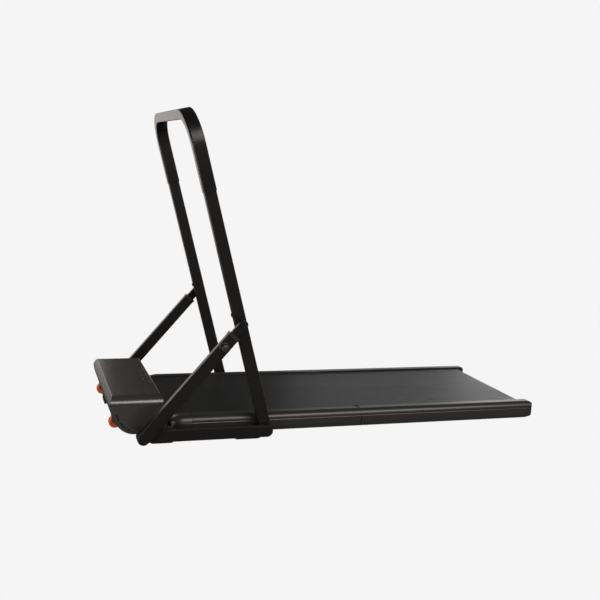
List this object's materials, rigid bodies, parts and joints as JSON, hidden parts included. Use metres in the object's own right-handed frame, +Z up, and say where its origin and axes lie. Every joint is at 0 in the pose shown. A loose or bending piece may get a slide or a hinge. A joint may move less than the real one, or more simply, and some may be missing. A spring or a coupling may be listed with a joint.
{
  "type": "folding treadmill",
  "caption": "Low folding walking treadmill with a hinged deck, front motor hood and a U-shaped handle held by telescoping side braces.",
  "frame": {"origin": "centre of the overall box at floor level", "axes": "+X from the motor hood to the rear end of the deck, +Y towards the user's right when facing the hood, +Z up"},
  "size_m": [1.438, 0.72, 0.9818],
  "materials": {
    "frame_black": "satin powder coat",
    "grip_black": "satin",
    "rail_grey": "dark anodised",
    "hood_black": "satin moulded",
    "trim_black": "moulded",
    "window_smoke": "smoked",
    "belt_rubber": "ribbed PVC running surface",
    "foot_rubber": "matt",
    "board_wood": "waxed fibreboard",
    "steel": "zinc plated",
    "chassis_steel": "matt black",
    "wheel_orange": "moulded polyurethane",
    "board_green": "circuit board",
    "motor_grey": "die cast"
  },
  "bodies": {
    "front_deck": {"hood_cover": "hood_black", "front_fascia": "trim_black", "hood_tray": "trim_black", "display_window": "window_smoke", "display_board": "board_green", "motor_housing": "motor_grey", "control_board": "board_green", "heat_sink": "motor_grey", "power_inlet": "trim_black", "chassis_plates": "chassis_steel", "front_rail_left": "rail_grey", "front_rail_right": "rail_grey", "rail_nose_left": "trim_black", "rail_nose_right": "trim_black", "front_deck_board": "board_wood", "front_cross_members": "chassis_steel", "front_belt": "belt_rubber", "drive_belt": "foot_rubber", "roller_bearings": "steel", "base_bar_left": "frame_black", "base_bar_right": "frame_black", "base_cross_bars": "frame_black", "base_brackets": "trim_black", "rubber_feet": "foot_rubber", "wheel_axles": "steel", "wheel_brackets": "trim_black", "front_hinge_leaves": "chassis_steel", "hinge_pins": "steel", "pivot_bolts": "frame_black"},
    "rear_deck": {"rear_rail_left": "rail_grey", "rear_rail_right": "rail_grey", "rear_end_cap_left": "trim_black", "rear_end_cap_right": "trim_black", "rear_deck_board": "board_wood", "rear_cross_members": "chassis_steel", "rear_belt": "belt_rubber", "rear_roller_shaft": "steel", "tension_blocks": "chassis_steel", "tension_bolts": "steel", "rear_hinge_leaves": "chassis_steel", "rear_feet": "foot_rubber"},
    "handle": {"upright_left": "frame_black", "upright_right": "frame_black", "handle_bar": "grip_black", "upright_bumpers": "foot_rubber"},
    "lower_braces": {"brace_sleeves": "frame_black", "brace_collars": "trim_black", "knob_bezels": "trim_black"},
    "upper_braces": {"brace_inner_bars": "frame_black", "brace_upper_bolts": "frame_black"},
    "lock_knob_left": {"lock_knob_left": "trim_black"},
    "lock_knob_right": {"lock_knob_right": "trim_black"},
    "wheel_left": {"wheel_left": "wheel_orange"},
    "wheel_right": {"wheel_right": "wheel_orange"},
    "front_roller": {"front_roller": "steel", "roller_pulley": "steel"},
    "rear_roller": {"rear_roller": "steel"},
    "motor_rotor": {"motor_shaft": "steel", "motor_pulley": "steel"},
    "power_rocker": {"power_rocker": "trim_black"}
  },
  "joints": [
    {"name": "deck_fold", "type": "hinge", "parent": "front_deck", "child": "rear_deck", "pos_m": [0.081, 0, 0.0652], "axis": [0, -1, 0], "range_deg": [0, 180]},
    {"name": "handle_fold", "type": "hinge", "parent": "front_deck", "child": "handle", "pos_m": [-0.2496, 0, 0.025], "axis": [0, 1, 0], "range_deg": [0, 101]},
    {"name": "brace_swing", "type": "hinge", "parent": "front_deck", "child": "lower_braces", "pos_m": [-0.628, 0, 0.025], "axis": [0, 1, 0], "range_deg": [0, 47.41]},
    {"name": "brace_slide", "type": "slide", "parent": "lower_braces", "child": "upper_braces", "axis": [0.648, 0, 0.7616], "range_m": [0, 0.2858]},
    {"name": "lock_knob_left_pull", "type": "slide", "parent": "lower_braces", "child": "lock_knob_left", "axis": [0, -1, 0], "range_m": [0, 0.008], "stiffness_N_per_m": 400},
    {"name": "lock_knob_right_pull", "type": "slide", "parent": "lower_braces", "child": "lock_knob_right", "axis": [0, 1, 0], "range_m": [0, 0.008], "stiffness_N_per_m": 400},
    {"name": "wheel_left_spin", "type": "hinge", "parent": "front_deck", "child": "wheel_left", "pos_m": [-0.6935, -0.19, 0.0365], "axis": [0, 1, 0], "continuous": true},
    {"name": "wheel_right_spin", "type": "hinge", "parent": "front_deck", "child": "wheel_right", "pos_m": [-0.6935, 0.19, 0.0365], "axis": [0, 1, 0], "continuous": true},
    {"name": "front_roller_spin", "type": "hinge", "parent": "front_deck", "child": "front_roller", "pos_m": [-0.595, 0, 0.0382], "axis": [0, 1, 0], "continuous": true},
    {"name": "rear_roller_spin", "type": "hinge", "parent": "rear_deck", "child": "rear_roller", "pos_m": [0.681, 0, 0.0382], "axis": [0, 1, 0], "continuous": true},
    {"name": "motor_spin", "type": "hinge", "parent": "front_deck", "child": "motor_rotor", "pos_m": [-0.657, 0, 0.068], "axis": [0, 1, 0], "continuous": true},
    {"name": "power_rocker_tip", "type": "hinge", "parent": "front_deck", "child": "power_rocker", "pos_m": [-0.696, 0.034, 0.054], "axis": [0, 1, 0], "range_deg": [0, 10]}
  ],
  "couplings": [
    {"joint": "brace_swing", "follows": "handle_fold", "ratio": 0.46939},
    {"joint": "brace_slide", "follows": "handle_fold", "m_per_rad": 0.16212},
    {"joint": "rear_roller_spin", "follows": "front_roller_spin", "ratio": 1},
    {"joint": "motor_spin", "follows": "front_roller_spin", "ratio": 1.4545}
  ]
}
